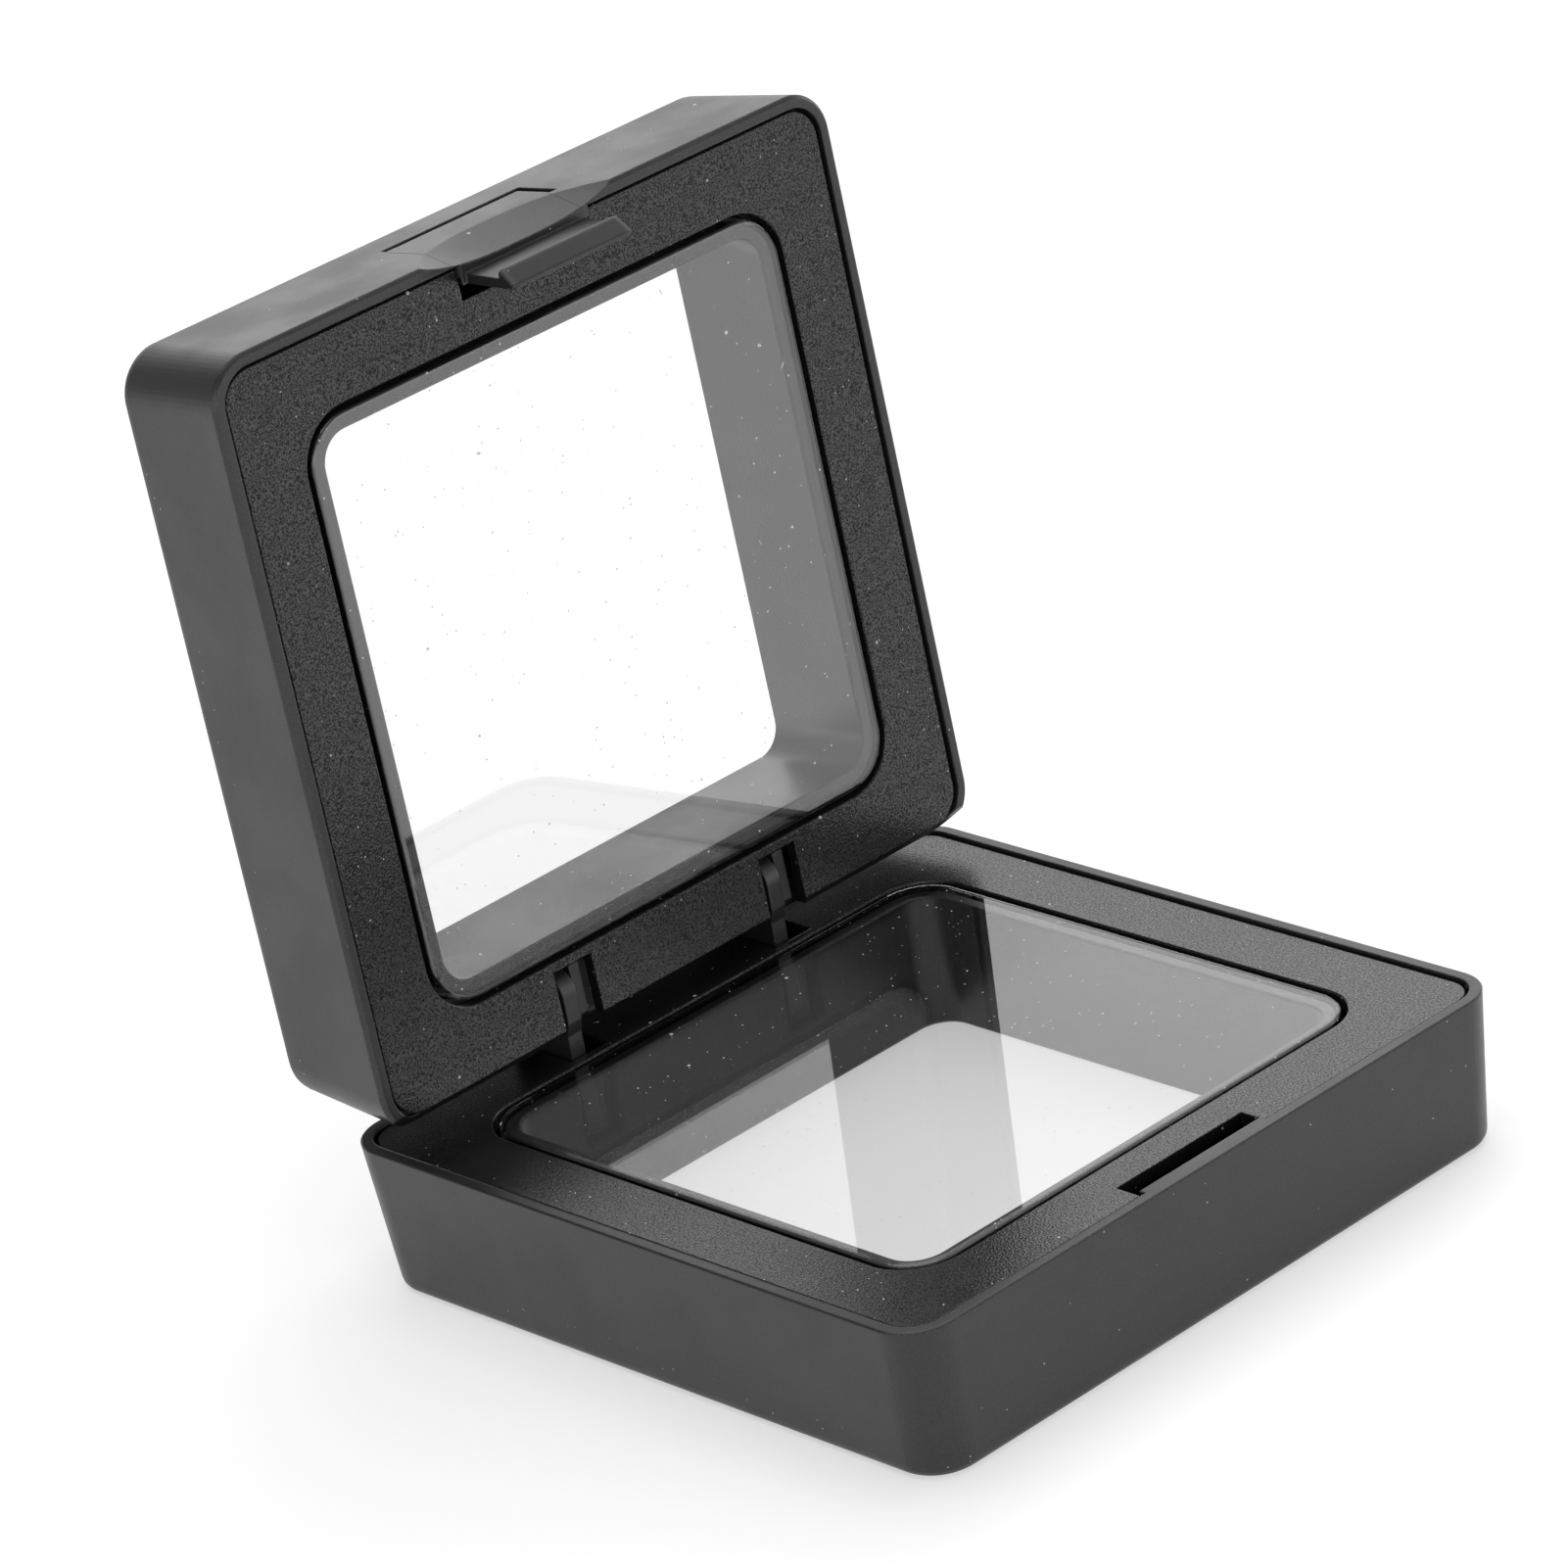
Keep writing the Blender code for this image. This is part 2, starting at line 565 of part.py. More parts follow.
def build():
    black = (0.012, 0.012, 0.013)
    base_frame = empty("base_frame", (0, BASE_Y, 0))
    hinge = empty("lid_hinge_axis", (0, AXIS_Y, AXIS_Z), base_frame, -OPEN_ANGLE)
    slide = empty("latch_slide_axis", (0, 0, 0), hinge)
    base = Half(BASE_RIM_Z, -1, BASE_RIM_CHAMFER, base_frame, Vector((0, 0, 0)))
    lid = Half(LID_RIM_Z, 1, LID_RIM_CHAMFER, hinge, Vector((0, AXIS_Y, AXIS_Z)))

    base_shell = shell("base_shell", base, plastic("base_shell", black, 0.42))
    base_hinge(base_shell, base)
    latch_catch(base_shell, base)
    cover_plate("base_cover_plate", base, plastic("base_cover_plate", black, 0.6))
    film("base_film", base, plastic("base_film", (1, 1, 1), 0.03, transmission=1.0))
    film_ring("base_film_ring", base, plastic("base_film_ring", black, 0.5))
    for left in hinge_slots():
        hinge_pin(left, base, plastic("hinge_pin_" + hinge_side(left), (0.6, 0.6, 0.6), 0.3, metallic=1.0))

    scoop_tool = scoop(lid)
    lid_shell = shell("lid_shell", lid, plastic("lid_shell", black, 0.42))
    lid_hinge(lid_shell, lid)
    latch_opening(lid_shell, lid, scoop_tool)
    cover_plate("lid_cover_plate", lid, plastic("lid_cover_plate", black, 0.6))
    film("lid_film", lid, plastic("lid_film", (1, 1, 1), 0.03, transmission=1.0))
    film_ring("lid_film_ring", lid, plastic("lid_film_ring", black, 0.5))
    latch_half = Half(LID_RIM_Z, 1, LID_RIM_CHAMFER, slide, Vector((0, AXIS_Y, AXIS_Z)))
    push_latch(latch_half, scoop_tool, plastic("push_latch", black, 0.4))


build()
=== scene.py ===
# %% [markdown]
# # Floating display box: the looks
#
# A square black box stands open. Each half is a deep frame whose window is closed
# by a clear stretched membrane. What is shown between the two membranes seems to
# float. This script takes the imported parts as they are, gives each one a
# procedural material, adds two small webs that the solids leave out, and sets the
# light and camera of the photograph.
#
# All sizes are in millimetres in the text and in metres in the code. Places on the
# lid are given as u, v, w: u along the hinge, v from the hinge side to the latch
# side, and w from the rim plane into the lid's depth.

import math

import bmesh
import bpy
import numpy as np
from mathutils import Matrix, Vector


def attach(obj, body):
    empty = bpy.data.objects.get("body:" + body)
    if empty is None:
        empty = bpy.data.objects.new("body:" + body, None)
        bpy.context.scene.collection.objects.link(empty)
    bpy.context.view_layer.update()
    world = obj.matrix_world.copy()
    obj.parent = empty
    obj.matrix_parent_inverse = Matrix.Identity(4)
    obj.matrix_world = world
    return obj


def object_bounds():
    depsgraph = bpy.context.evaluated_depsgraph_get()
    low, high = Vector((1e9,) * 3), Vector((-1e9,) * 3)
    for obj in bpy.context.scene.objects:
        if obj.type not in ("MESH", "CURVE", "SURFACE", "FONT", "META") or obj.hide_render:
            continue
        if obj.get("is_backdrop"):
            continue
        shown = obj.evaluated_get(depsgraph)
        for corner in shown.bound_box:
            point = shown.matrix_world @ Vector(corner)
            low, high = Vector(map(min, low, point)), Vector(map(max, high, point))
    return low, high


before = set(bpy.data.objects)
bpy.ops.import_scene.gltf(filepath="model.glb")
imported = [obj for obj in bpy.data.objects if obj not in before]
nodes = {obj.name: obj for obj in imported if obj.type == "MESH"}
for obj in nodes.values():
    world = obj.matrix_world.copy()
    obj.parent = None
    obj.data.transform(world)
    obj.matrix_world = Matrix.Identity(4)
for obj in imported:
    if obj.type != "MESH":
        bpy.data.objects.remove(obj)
low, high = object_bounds()
cad_box = [list(low), list(high)]
print("loaded", len(nodes), "nodes, box", [round((b - a) * 1000, 1) for a, b in zip(low, high)], "mm")

# %% [markdown]
# ## Where the lid lies
#
# The lid is turned 93.25 degrees open, so it leans back a little. Its frame is a
# corner and three unit vectors, and the added pieces use it to find their place.

# %% The lid's frame
MM = 0.001
SIDE = 70.0 * MM
OPEN = math.radians(93.25)
LID_CORNER = np.array([0.0, 22.3953 * MM, 15.3319 * MM])
LID_U = np.array([1.0, 0.0, 0.0])
LID_V = np.array([0.0, -math.cos(OPEN), math.sin(OPEN)])
LID_W = np.array([0.0, math.sin(OPEN), math.cos(OPEN)])


def on_lid(u, v, w):
    """The place of a lid point: corner + u U + v V + w W, for arrays too."""
    u, v, w = np.broadcast_arrays(u, v, w)
    return LID_CORNER + u[..., None] * LID_U + v[..., None] * LID_V + w[..., None] * LID_W


print("lid leans back", round(math.degrees(OPEN) - 90, 2), "degrees")

# %% [markdown]
# ## Building materials from nodes
#
# Every material is a small graph. These helpers add a node, set its inputs and
# wire it up, so that each recipe below reads as a list of what it is made of.
# Most values of a noise lie between 0.3 and 0.7, so a ramp over that range uses
# all of it.

# %% Node helpers
NOISE_LOW = 0.3
NOISE_HIGH = 0.7


def new_material(name):
    """An empty material, and its tree and output node."""
    mat = bpy.data.materials.new(name)
    mat.use_nodes = True
    tree = mat.node_tree
    tree.nodes.clear()
    return mat, tree, tree.nodes.new("ShaderNodeOutputMaterial")


def add(tree, kind, settings=None, **inputs):
    """Add a node. Inputs are values or sockets, by name with underscores, or i and a number."""
    node = tree.nodes.new("ShaderNode" + kind)
    for key, value in (settings or {}).items():
        setattr(node, key, value)
    for key, value in inputs.items():
        numbered = key[0] == "i" and key[1:].isdigit()
        socket = node.inputs[int(key[1:]) if numbered else key.replace("_", " ")]
        if isinstance(value, bpy.types.NodeSocket):
            tree.links.new(value, socket)
        else:
            socket.default_value = value
    return node


def ramp(tree, factor, low_at, high_at, low_value=0.0, high_value=1.0):
    """A value that climbs smoothly from one level to another between two factors."""
    node = add(tree, "MapRange", {"interpolation_type": "SMOOTHSTEP"}, Value=factor)
    levels = {"From Min": low_at, "From Max": high_at, "To Min": low_value, "To Max": high_value}
    for key, value in levels.items():
        node.inputs[key].default_value = value
    return node.outputs["Result"]


def math_node(tree, operation, a, b=0.0):
    return add(tree, "Math", {"operation": operation}, i0=a, i1=b).outputs[0]


def noise(tree, where, size, detail=3.0, roughness=0.5):
    """Smooth noise whose lumps are about as large as the given size."""
    node = add(tree, "TexNoise", Vector=where, Scale=1 / size, Detail=detail, Roughness=roughness)
    return node.outputs["Fac"]


def along(tree, way, direction):
    """The cosine between a direction socket and a fixed direction."""
    return add(tree, "VectorMath", {"operation": "DOT_PRODUCT"}, i0=way, i1=direction).outputs["Value"]


def grey(tone):
    return (tone, tone, tone, 1)


def grey_mix(tree, share, ground, over):
    """Mix a grey, or a colour socket, with another grey."""
    tones = [v if isinstance(v, bpy.types.NodeSocket) else grey(v) for v in (ground, over)]
    return add(tree, "Mix", {"data_type": "RGBA"}, i0=share, i6=tones[0], i7=tones[1]).outputs[2]


def coords(tree):
    return add(tree, "TexCoord").outputs["Object"]


print("noise is used from", NOISE_LOW, "to", NOISE_HIGH)

# %% [markdown]
# ## Dust and lint
#
# The photograph is close enough to show specks. A cell pattern gives one random
# point per cell; a speck is drawn where the distance to that point is small, and
# only in the cells whose random colour is high, so specks are sparse and vary in
# size. Lint is the same recipe on stretched and bent coordinates, which turns a
# speck into a short curved fibre.

# %% Dust and lint
SPECK_EDGE = 0.2
LINT_CELL = 1.5 * MM
LINT_RADIUS = 0.05 * MM
LINT_SHARE = 0.7
LINT_STRETCH = 0.07
LINT_BEND = 1.6 * MM
LINT_BEND_SIZE = 2.5 * MM


def specks(tree, where, cell, share, size):
    """1 inside a speck: near a cell's point, in the given share of cells."""
    voronoi = add(tree, "TexVoronoi", {"feature": "F1"}, Vector=where, Scale=1 / cell, Randomness=1.0)
    chance = add(tree, "SeparateColor", Color=voronoi.outputs["Color"]).outputs
    grown = math_node(tree, "MULTIPLY", ramp(tree, chance["Red"], 1 - share, 1.0), size / cell)
    inside = math_node(tree, "SUBTRACT", grown, voronoi.outputs["Distance"])
    return ramp(tree, inside, 0.0, SPECK_EDGE * size / cell)


def lint(tree, where, turn):
    """1 on a fibre: specks on coordinates that noise bends and a mapping stretches."""
    wander = add(tree, "TexNoise", Vector=where, Scale=1 / LINT_BEND_SIZE, Detail=0.0).outputs["Color"]
    centred = add(tree, "VectorMath", {"operation": "SUBTRACT"}, i0=wander, i1=(0.5, 0.5, 0.5)).outputs[0]
    bend = add(tree, "VectorMath", {"operation": "SCALE"}, i0=centred, Scale=LINT_BEND).outputs[0]
    bent = add(tree, "VectorMath", {"operation": "ADD"}, i0=where, i1=bend).outputs[0]
    turned = add(tree, "Mapping", Vector=bent, Rotation=turn).outputs[0]
    stretched = add(tree, "Mapping", Vector=turned, Scale=(LINT_STRETCH, 1.0, 1.0)).outputs[0]
    return specks(tree, stretched, LINT_CELL, LINT_SHARE, LINT_RADIUS)


print("a fibre is up to", round(2 * LINT_RADIUS / LINT_STRETCH * 1000, 1), "mm long")

# %% [markdown]
# ## Black plastic
#
# Housings and button are satin black plastic, and the cover plates carry a fine
# grain. Both are one recipe with other numbers: a nearly black base, a grain that
# moves the surface by a hundredth of a millimetre or so and makes its peaks shine
# more than its pits, and roughness that drifts a little so that reflections are
# not perfectly even.
#
# Moulded edges are never quite sharp. The Bevel node gives a normal that is
# rounded near an edge, and where it parts from the true normal there is an edge,
# so the same node also says where handling has left small pale nicks. The webs
# beside the button do without it, since their narrow skins lie flush with the lid
# and rounded normals would draw their edges.

# %% Plastic recipe
BEVEL_SAMPLES = 6
EDGE_FROM, EDGE_TO = 0.90, 0.98
NICK_SIZE = 0.22 * MM
NICK_TONE = 0.11
NICK_FROM, NICK_TO = 0.62, 0.68
SHINE_FROM, SHINE_TO = 0.36, 0.64
PORES_PER_GRAIN = 0.8
PATCH_SIZE = 9 * MM
FINE_CELL, FINE_SPECK = 0.9 * MM, 0.09 * MM
COARSE_CELL, COARSE_SPECK = 2.6 * MM, 0.20 * MM
POWDER_TONE = 0.42


def edge_of(tree, rounded):
    """0 on a flat face, climbing to 1 close to an edge."""
    true_normal = add(tree, "NewGeometry").outputs["True Normal"]
    return ramp(tree, along(tree, rounded, true_normal), EDGE_FROM, EDGE_TO, 1.0, 0.0)


def black_plastic(name, tint, rough, grain_size, grain_height, sparkle, rounding, dust, nicks, index):
    mat, tree, out = new_material(name)
    here = coords(tree)
    if rounding:
        rounded = add(tree, "Bevel", {"samples": BEVEL_SAMPLES}, Radius=rounding).outputs[0]
    else:
        rounded = add(tree, "NewGeometry").outputs["Normal"]

    grain = noise(tree, here, grain_size, detail=2.0, roughness=0.6)
    shine = ramp(tree, grain, SHINE_FROM, SHINE_TO, 0.5 - sparkle, 0.5 + sparkle)
    pores = add(
        tree, "TexVoronoi", {"feature": "SMOOTH_F1"},
        Vector=here, Scale=PORES_PER_GRAIN / grain_size, Smoothness=0.5)
    height = math_node(tree, "ADD", grain, pores.outputs["Distance"])
    bump = add(tree, "Bump", Height=height, Strength=1.0, Distance=grain_height, Normal=rounded)
    patches = noise(tree, here, PATCH_SIZE, detail=4.0, roughness=0.6)
    gloss = ramp(tree, patches, NOISE_LOW, NOISE_HIGH, rough[0], rough[1])

    scuffs = noise(tree, here, NICK_SIZE, detail=3.0, roughness=0.7)
    worn = ramp(tree, scuffs, NICK_FROM - nicks, NICK_TO - nicks)
    nicked = math_node(tree, "MULTIPLY", edge_of(tree, rounded), worn)
    fine = specks(tree, here, FINE_CELL, dust, FINE_SPECK)
    coarse = specks(tree, here, COARSE_CELL, dust, COARSE_SPECK)
    dirt = math_node(tree, "MAXIMUM", fine, coarse)
    shade = grey_mix(tree, dirt, grey_mix(tree, nicked, tint, NICK_TONE), POWDER_TONE)
    body = add(
        tree, "BsdfPrincipled", Base_Color=shade, Roughness=gloss, IOR=index,
        Specular_IOR_Level=shine, Normal=bump.outputs[0])
    tree.links.new(body.outputs[0], out.inputs["Surface"])
    return mat


SATIN = {"tint": 0.012, "rough": (0.33, 0.43), "grain_size": 0.13 * MM, "grain_height": 0.002 * MM,
         "sparkle": 0.05, "dust": 0.2, "nicks": 0.05, "index": 1.56}
GRAINED = {"tint": 0.009, "rough": (0.19, 0.25), "grain_size": 0.17 * MM, "grain_height": 0.012 * MM,
           "sparkle": 0.36, "dust": 0.75, "nicks": 0.08, "index": 1.52}
PLAIN = {"tint": 0.014, "rough": (0.45, 0.55), "grain_size": 0.30 * MM, "grain_height": 0.006 * MM,
         "sparkle": 0.05, "dust": 0.02, "nicks": 0.0, "index": 1.5}
housing = black_plastic("housing_plastic", rounding=0.28 * MM, **SATIN)
web_plastic = black_plastic("web_plastic", rounding=0.0, **SATIN)
plate = black_plastic("cover_plate_plastic", rounding=0.14 * MM, **GRAINED)
inner = black_plastic("inner_ring_plastic", rounding=0.10 * MM, **PLAIN)
print("plastic materials:", [m.name for m in (housing, web_plastic, plate, inner)])

# %% [markdown]
# ## Membrane
#
# A membrane is a fifth of a millimetre of clear film. Light goes straight through
# it, and a mirror-like share is sent back from each side. That share is Fresnel's:
# a few percent head on and over 10 percent at the slant of the base in the
# photograph. Light that leaves the film would meet the same law with the index
# turned over, and straight rays would then be wrongly trapped, so the index is
# inverted on back faces. The lid's film mirrors a little more than the base's, so
# each has an index of its own. Film draws dust, so it has more specks than the
# plastic, and some lint.

# %% Membrane recipe
BASE_FILM_INDEX = 1.42
LID_FILM_INDEX = 1.65
FILM_CLEAR = 0.97
FILM_ROUGHNESS = 0.02
FILM_FINE = (1.0 * MM, 0.75, 0.10 * MM)  # cell, share of cells, speck radius
FILM_COARSE = (3.2 * MM, 0.7, 0.18 * MM)
LINT_TURNS = ((0.3, 0.5, 0.6), (0.2, -0.9, -0.8))
DUST_TONE = 0.75


def membrane(name, film_index):
    mat, tree, out = new_material(name)
    here = coords(tree)
    leaving = add(tree, "NewGeometry").outputs["Backfacing"]
    index = add(tree, "Mix", {"data_type": "FLOAT"}, i0=leaving, i2=film_index, i3=1 / film_index).outputs[0]
    fresnel = add(tree, "Fresnel", IOR=index).outputs[0]
    gloss = add(tree, "BsdfGlossy", Color=grey(1), Roughness=FILM_ROUGHNESS)
    clear = add(tree, "BsdfTransparent", Color=grey(FILM_CLEAR))
    sheet = add(tree, "MixShader", i0=fresnel, i1=clear.outputs[0], i2=gloss.outputs[0])
    dust = math_node(tree, "MAXIMUM", specks(tree, here, *FILM_FINE), specks(tree, here, *FILM_COARSE))
    for turn in LINT_TURNS:
        dust = math_node(tree, "MAXIMUM", dust, lint(tree, here, turn))
    powder = add(tree, "BsdfDiffuse", Color=grey(DUST_TONE))
    dusty = add(tree, "MixShader", i0=dust, i1=sheet.outputs[0], i2=powder.outputs[0])
    tree.links.new(dusty.outputs[0], out.inputs["Surface"])
    return mat


base_film = membrane("base_membrane", BASE_FILM_INDEX)
lid_film = membrane("lid_membrane", LID_FILM_INDEX)
print("film materials:", base_film.name, lid_film.name)

# %% [markdown]
# ## Steel pins
#
# Each hinge pin is drawn wire. Its grain runs along the pin, so the noise that
# roughens it is stretched along X.

# %% Pin recipe
STEEL_TONE = 0.55
STEEL_GRAIN = 0.2 * MM
STEEL_STRETCH = 0.1
STEEL_ROUGH = (0.25, 0.45)


def drawn_steel(name):
    mat, tree, out = new_material(name)
    stretched = add(tree, "Mapping", Vector=coords(tree), Scale=(STEEL_STRETCH, 1.0, 1.0)).outputs[0]
    rough = ramp(tree, noise(tree, stretched, STEEL_GRAIN), NOISE_LOW, NOISE_HIGH, *STEEL_ROUGH)
    body = add(tree, "BsdfPrincipled", Base_Color=grey(STEEL_TONE), Metallic=1.0, Roughness=rough)
    tree.links.new(body.outputs[0], out.inputs["Surface"])
    return mat


steel = drawn_steel("drawn_steel")
print("pin material:", steel.name)

# %% [markdown]
# ## Dressing the parts
#
# Housings and latch share one plastic, so that button and lid look like one
# moulding. Each other kind of piece has its own.

# %% Give each part its material
LOOKS = {
    "base_shell": housing, "lid_shell": housing, "push_latch": housing,
    "base_cover_plate": plate, "lid_cover_plate": plate,
    "base_film_ring": inner, "lid_film_ring": inner,
    "base_film": base_film, "lid_film": lid_film,
    "hinge_pin_left": steel, "hinge_pin_right": steel,
}
for name, mat in LOOKS.items():
    for material_slot in nodes[name].material_slots:
        material_slot.material = mat
print("assigned", len(LOOKS), "materials")

# %% [markdown]
# ## Webs beside the button
#
# The real button is a tongue of the lid. It stays joined to the lid along its left
# edge, and on the right between the slot's end and the rim. The solids leave a
# sliding gap there, so a web closes each: a skin that stands a hundredth of a
# millimetre proud of the outer face and hides the seam, over a body that fills
# the gap. The outer face is the drafted wall, the rim's chamfer or the thumb
# scoop, whichever lies lowest.

# %% Webs
WALL_DRAFT = 0.0661
LID_CHAMFER = 0.35 * MM
SCOOP_DEPTH = 1.42 * MM
SCOOP_RUN = 5.9 * MM
SCOOP_HALF = 11.0 * MM
SCOOP_CENTRE = -0.6 * MM
SKIN_RISE = 0.014 * MM
SKIN_ROOT = 0.004 * MM
SKIN_SIDE = 0.4 * MM
WEB_DEPTH = 1.1 * MM
WEB_SHARP = math.radians(25)
WEBS = {  # the gap's left and right side in u, and how far it reaches from the rim
    "latch_web_left": (-7.8 * MM, -7.5 * MM, 8.6 * MM),
    "latch_web_right": (6.8 * MM, 7.1 * MM, 4.2 * MM),
}


def outer_face(u, w):
    """v of the lid's free side: the lowest of S - d (w - c), S - c + w and S - D (1 - |s|^3) + w D / R."""
    share = np.abs((u - SCOOP_CENTRE) / SCOOP_HALF)
    wall = SIDE - WALL_DRAFT * (w - LID_CHAMFER)
    edge = SIDE - LID_CHAMFER + w
    dip = SIDE - SCOOP_DEPTH * (1 - share ** 3) + SCOOP_DEPTH / SCOOP_RUN * w
    return np.minimum(np.minimum(wall, edge), dip)


def make_web(name, gap_left, gap_right, reach, columns=13, rows=61):
    """A T-shaped strip over a gap in u, from the rim plane to w = reach."""
    left, right = gap_left - SKIN_SIDE, gap_right + SKIN_SIDE
    top = np.linspace(left, right, columns)
    u = np.concatenate([top, [right, gap_right, gap_right, gap_left, gap_left, left]])
    rise = np.concatenate([
        np.full(columns, SKIN_RISE),
        [-SKIN_ROOT, -SKIN_ROOT, -WEB_DEPTH, -WEB_DEPTH, -SKIN_ROOT, -SKIN_ROOT]])
    w = np.linspace(0, reach, rows)[:, None]
    points = on_lid(u[None, :], outer_face(u[None, :], w) + rise, w)
    count = len(u)
    faces = [tuple(range(count)), tuple(range((rows - 1) * count, rows * count))]
    for row in range(rows - 1):
        for k in range(count):
            a, b = row * count + k, row * count + (k + 1) % count
            faces.append((a, b, b + count, a + count))

    mesh = bpy.data.meshes.new(name)
    mesh.from_pydata(points.reshape(-1, 3).tolist(), [], faces)
    shape = bmesh.new()
    shape.from_mesh(mesh)
    bmesh.ops.recalc_face_normals(shape, faces=shape.faces)
    shape.to_mesh(mesh)
    shape.free()
    mesh.shade_smooth()
    mesh.set_sharp_from_angle(angle=WEB_SHARP)
    mesh.materials.append(web_plastic)
    piece = bpy.data.objects.new(name, mesh)
    bpy.context.scene.collection.objects.link(piece)
    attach(piece, "lid")
    return piece


for name, (gap_left, gap_right, reach) in WEBS.items():
    piece = make_web(name, gap_left, gap_right, reach)
    print(piece.name, [round(size * 1000, 2) for size in piece.dimensions], "mm")

# %% [markdown]
# ## Floor
#
# The object stands on a plain white floor, as in a light tent. A black object
# shows little but what it mirrors, so the surroundings do most of the work. Seen
# directly, the floor is lifted to white by a shader that only camera, glossy and
# transmitted rays meet. It still carries the object's shadow.

# %% Floor
FLOOR_TONE = 0.60
FLOOR_DRIFT = 0.01
FLOOR_LIFT = 0.52
FLOOR_PATCH = 1 / 3
FLOOR_REACH = 3.0


def seen_directly(tree):
    """1 for rays from the camera, from a mirror or through glass, and 0 for light."""
    path = add(tree, "LightPath").outputs
    some = math_node(tree, "MAXIMUM", path["Is Camera Ray"], path["Is Glossy Ray"])
    return math_node(tree, "MAXIMUM", some, path["Is Transmission Ray"])


def make_floor():
    """A level square, matt and pale."""
    mesh = bpy.data.meshes.new("studio_floor")
    corners = FLOOR_REACH * np.array([(-1, -1, 0), (1, -1, 0), (1, 1, 0), (-1, 1, 0)], float)
    mesh.from_pydata(corners.tolist(), [], [(0, 1, 2, 3)])
    floor = bpy.data.objects.new("studio_floor", mesh)
    bpy.context.scene.collection.objects.link(floor)
    mat, tree, out = new_material("studio_floor")
    patches = noise(tree, coords(tree), FLOOR_PATCH)
    drift = ramp(tree, patches, NOISE_LOW, NOISE_HIGH, FLOOR_TONE - FLOOR_DRIFT, FLOOR_TONE + FLOOR_DRIFT)
    tone = add(tree, "CombineColor", Red=drift, Green=drift, Blue=drift).outputs[0]
    matt = add(tree, "BsdfDiffuse", Color=tone)
    lit = add(tree, "Emission", Color=grey(1), Strength=FLOOR_LIFT)
    both = add(tree, "AddShader", i0=matt.outputs[0], i1=lit.outputs[0])
    pick = add(tree, "MixShader", i0=seen_directly(tree), i1=matt.outputs[0], i2=both.outputs[0])
    tree.links.new(pick.outputs[0], out.inputs["Surface"])
    mesh.materials.append(mat)
    floor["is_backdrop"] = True
    return floor


print("floor", make_floor().name)

# %% [markdown]
# ## The light tent
#
# Round the horizon the tent is a white band, with a darker space above. A soft
# glow behind on the right lights the top face and the button. Behind on the left
# the tent is dim, which gives the rounded corners and the rear of the base their
# dark sweep. The camera itself sees plain white.

# %% World
HORIZON_LIGHT = 1.6
SKY_LIGHT = 0.30
BAND_FROM, BAND_TO = 0.30, 0.54
KEY_LIGHT = 1.5
KEY_WAY = (0.61, 0.38, 0.695)
KEY_FROM, KEY_TO = 0.86, 0.98
SHADE_SHARE = 0.2
SHADE_WAY = (-0.50, 0.75, 0.43)
SHADE_FROM, SHADE_TO = 0.70, 0.92


def make_world():
    """A white band round the horizon, a darker sky, a glow behind on the right, shade on the left."""
    world = bpy.data.worlds.new("light_tent")
    bpy.context.scene.world = world
    world.use_nodes = True
    tree = world.node_tree
    tree.nodes.clear()
    out = tree.nodes.new("ShaderNodeOutputWorld")
    way = add(tree, "TexCoord").outputs["Generated"]
    rise = add(tree, "SeparateXYZ", Vector=way).outputs["Z"]
    band = ramp(tree, rise, BAND_FROM, BAND_TO, HORIZON_LIGHT, SKY_LIGHT)
    shade = ramp(tree, along(tree, way, SHADE_WAY), SHADE_FROM, SHADE_TO, 1.0, SHADE_SHARE)
    glow = ramp(tree, along(tree, way, KEY_WAY), KEY_FROM, KEY_TO, 0.0, KEY_LIGHT)
    level = math_node(tree, "ADD", math_node(tree, "MULTIPLY", band, shade), glow)
    tent = add(tree, "Background", Color=grey(1), Strength=level)
    white = add(tree, "Background", Color=grey(1), Strength=1.0)
    camera_ray = add(tree, "LightPath").outputs["Is Camera Ray"]
    pick = add(tree, "MixShader", i0=camera_ray, i1=tent.outputs[0], i2=white.outputs[0])
    tree.links.new(pick.outputs[0], out.inputs["Surface"])


make_world()
print("world", bpy.context.scene.world.name)

# %% [markdown]
# ## Overhead lamp
#
# One large soft lamp above gives the floor its light and the box its soft shadow.

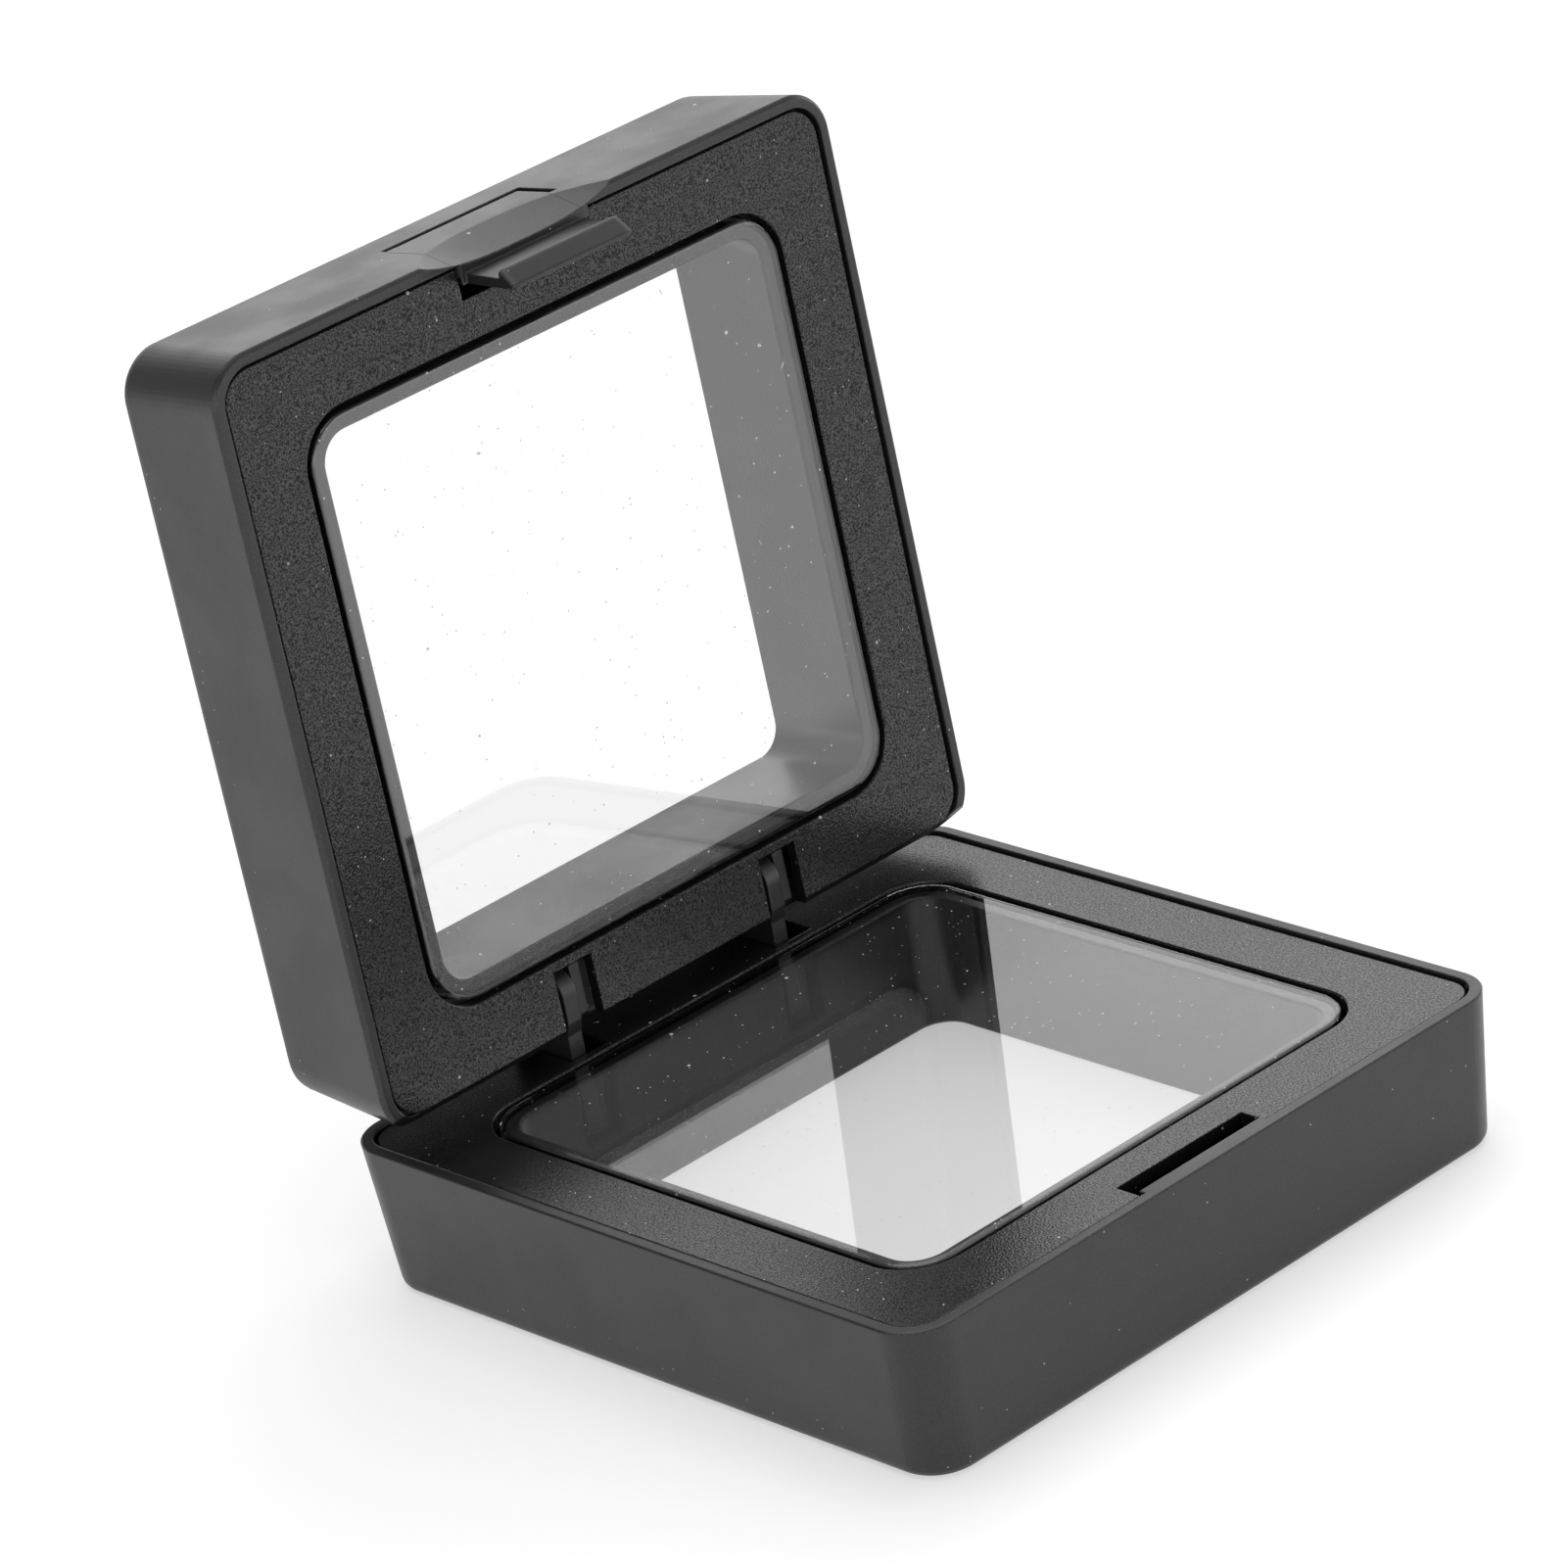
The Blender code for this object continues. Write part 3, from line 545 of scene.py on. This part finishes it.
# %% Lamp
LAMP_PLACE = (0.0, 0.15, 1.1)
LAMP_AIM = (0, 0, 0)
LAMP_SIDE = 0.9
LAMP_RADIANCE = 1.9


def softbox(name, place, aim, side, radiance):
    """A square lamp. A flat panel of area A and even radiance L sends out pi A L watts."""
    data = bpy.data.lights.new(name, "AREA")
    data.shape = "RECTANGLE"
    data.size = data.size_y = side
    data.energy = math.pi * side * side * radiance
    lamp = bpy.data.objects.new(name, data)
    lamp.location = place
    way = np.array(aim) - np.array(place)
    lamp.rotation_euler = (
        math.atan2(math.hypot(way[0], way[1]), -way[2]), 0, math.atan2(way[1], way[0]) - math.pi / 2)
    lamp.visible_camera = False
    bpy.context.scene.collection.objects.link(lamp)
    return lamp


lamp = softbox("overhead_softbox", LAMP_PLACE, LAMP_AIM, LAMP_SIDE, LAMP_RADIANCE)
print(lamp.name, round(lamp.data.energy, 3), "W")

# %% [markdown]
# ## Camera
#
# The place, turn and lens come from matching the box's edges in the photograph: a
# long lens, 0.63 m from the box's middle, looking down by 24 degrees from 40
# degrees to the left of the front, and rolled by 10 degrees.

# %% Camera
SENSOR_WIDTH = 36.0
LENS = 173.197
NEAREST = 0.01
CAMERA_PLACE = (-0.36980, -0.44034, 0.29226)
CAMERA_TURN = (65.9455, 9.2525, -43.7684)

camera_data = bpy.data.cameras.new("camera")
camera_data.sensor_width = SENSOR_WIDTH
camera_data.lens = LENS
camera_data.clip_start = NEAREST
camera = bpy.data.objects.new("camera", camera_data)
camera.location = CAMERA_PLACE
camera.rotation_euler = [math.radians(angle) for angle in CAMERA_TURN]
bpy.context.scene.collection.objects.link(camera)
bpy.context.scene.camera = camera
middle = [(a + b) / 2 for a, b in zip(*cad_box)]
print("camera", round(math.dist(CAMERA_PLACE, middle), 2), "m from the box's middle")

# %% [markdown]
# ## View and sizes
#
# Colours are shown as they are, with no tone curve. The last cell notes the size
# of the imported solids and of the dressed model, which should agree.

# %% View and sizes
bpy.context.scene.view_settings.view_transform = "Standard"
low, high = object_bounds()
